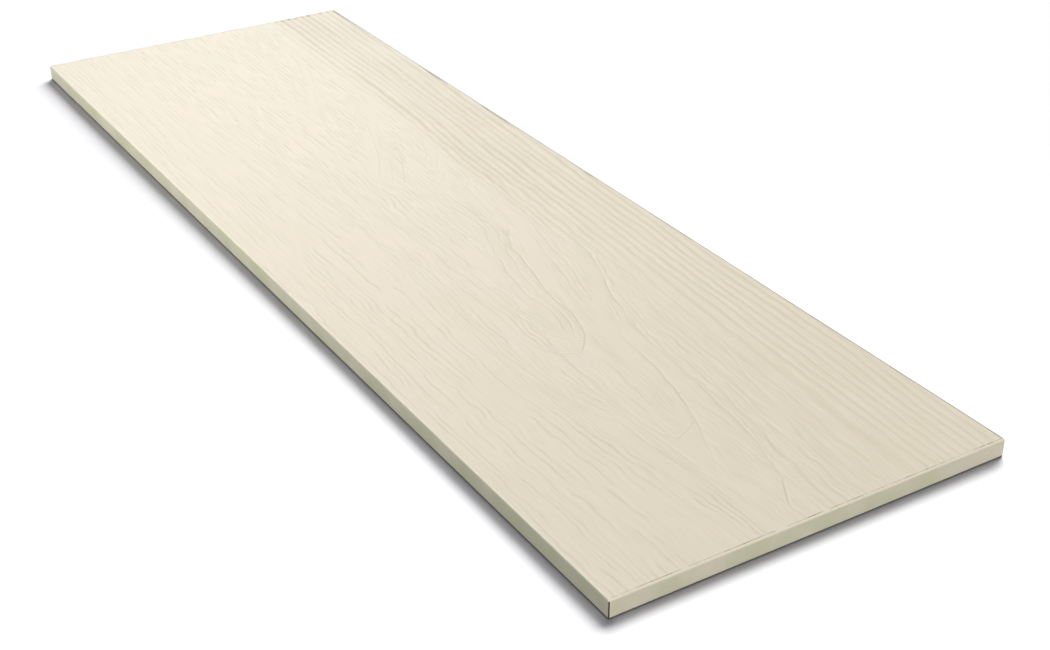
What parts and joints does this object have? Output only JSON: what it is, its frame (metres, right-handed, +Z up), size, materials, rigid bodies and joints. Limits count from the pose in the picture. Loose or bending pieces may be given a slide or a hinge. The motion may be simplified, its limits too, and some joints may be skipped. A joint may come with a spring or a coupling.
{
  "type": "cladding board",
  "caption": "Flat fibre cement cladding board with an embossed wood-grain face, rounded face edges, square-cut ends and a plain back.",
  "frame": {"origin": "Middle of the back face, which lies on the floor", "axes": "+X along the length, +Y across the width, +Z up out of the face"},
  "size_m": [0.564, 0.18, 0.008],
  "materials": {
    "coated_fibre_cement": "satin"
  },
  "bodies": {
    "root": {"cladding_board": "coated_fibre_cement"}
  },
  "joints": []
}
